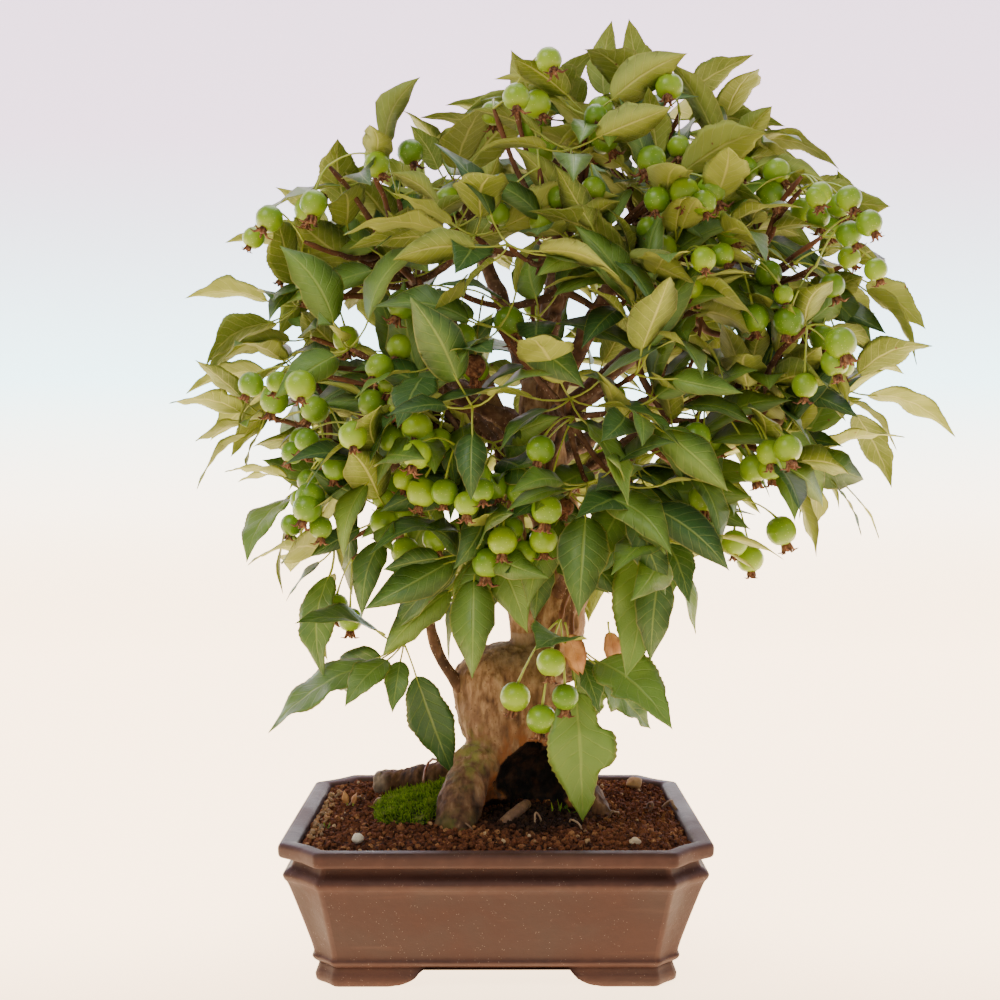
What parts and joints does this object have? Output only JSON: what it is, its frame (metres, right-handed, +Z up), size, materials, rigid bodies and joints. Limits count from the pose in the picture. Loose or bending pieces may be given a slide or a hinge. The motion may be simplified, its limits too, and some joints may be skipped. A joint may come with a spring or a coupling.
{
  "type": "potted bonsai tree",
  "caption": "Crab apple bonsai with leaves and small green fruit, its surface roots in granular soil with moss, in a rectangular footed clay pot with cut corners.",
  "frame": {"origin": "centre of the bounding box's base, on the plane of the pot's four soles", "axes": "+Z up the tree, -Y towards the viewer at the pot's long front side, +X to the right seen from the front"},
  "size_m": [0.4314, 0.3178, 0.5119],
  "materials": {
    "stoneware": "unglazed red-brown stoneware, matt, with fine scratches",
    "soil": "fired clay granules, matt, reddish brown",
    "moss": "short bright green moss",
    "bark": "pale grey-brown bark with orange-brown flakes",
    "leaf": "soft green leaf, paler and yellower underneath",
    "fruit": "satin light green skin with fine pale dots",
    "screen_plastic": "black plastic mesh",
    "clip_wire": "soft bare wire",
    "pin_wire": "red-brown anodised wire",
    "stone": "pale rough grit"
  },
  "bodies": {
    "root": {"drain_screen_left": "screen_plastic", "drain_screen_right": "screen_plastic", "fruit_cluster_01": "fruit", "fruit_cluster_02": "fruit", "fruit_cluster_03": "fruit", "fruit_cluster_04": "fruit", "fruit_cluster_05": "fruit", "fruit_cluster_06": "fruit", "fruit_cluster_07": "fruit", "fruit_cluster_08": "fruit", "fruit_cluster_09": "fruit", "fruit_cluster_10": "fruit", "fruit_cluster_11": "fruit", "fruit_cluster_12": "fruit", "fruit_cluster_13": "fruit", "fruit_cluster_14": "fruit", "fruit_cluster_15": "fruit", "fruit_cluster_16": "fruit", "fruit_cluster_17": "fruit", "leaf_spray_01": "leaf", "leaf_spray_02": "leaf", "leaf_spray_03": "leaf", "leaf_spray_04": "leaf", "leaf_spray_05": "leaf", "leaf_spray_06": "leaf", "leaf_spray_07": "leaf", "leaf_spray_08": "leaf", "leaf_spray_09": "leaf", "leaf_spray_10": "leaf", "leaf_spray_11": "leaf", "leaf_spray_12": "leaf", "leaf_spray_13": "leaf", "leaf_spray_14": "leaf", "leaf_spray_15": "leaf", "leaf_spray_16": "leaf", "leaf_spray_17": "leaf", "leaf_spray_18": "leaf", "leaf_spray_19": "leaf", "leaf_spray_20": "leaf", "leaf_spray_21": "leaf", "leaf_spray_22": "leaf", "leaf_spray_23": "leaf", "leaf_spray_24": "leaf", "leaf_spray_25": "leaf", "leaf_spray_26": "leaf", "leaf_spray_27": "leaf", "leaf_spray_28": "leaf", "leaf_spray_29": "leaf", "leaf_spray_30": "leaf", "moss": "moss", "pebble_back_right": "stone", "pebble_front_left": "stone", "pebble_front_right": "stone", "pot": "stoneware", "root_pin": "pin_wire", "screen_clip_left": "clip_wire", "screen_clip_right": "clip_wire", "soil": "soil", "tree_wood": "bark"}
  },
  "joints": []
}
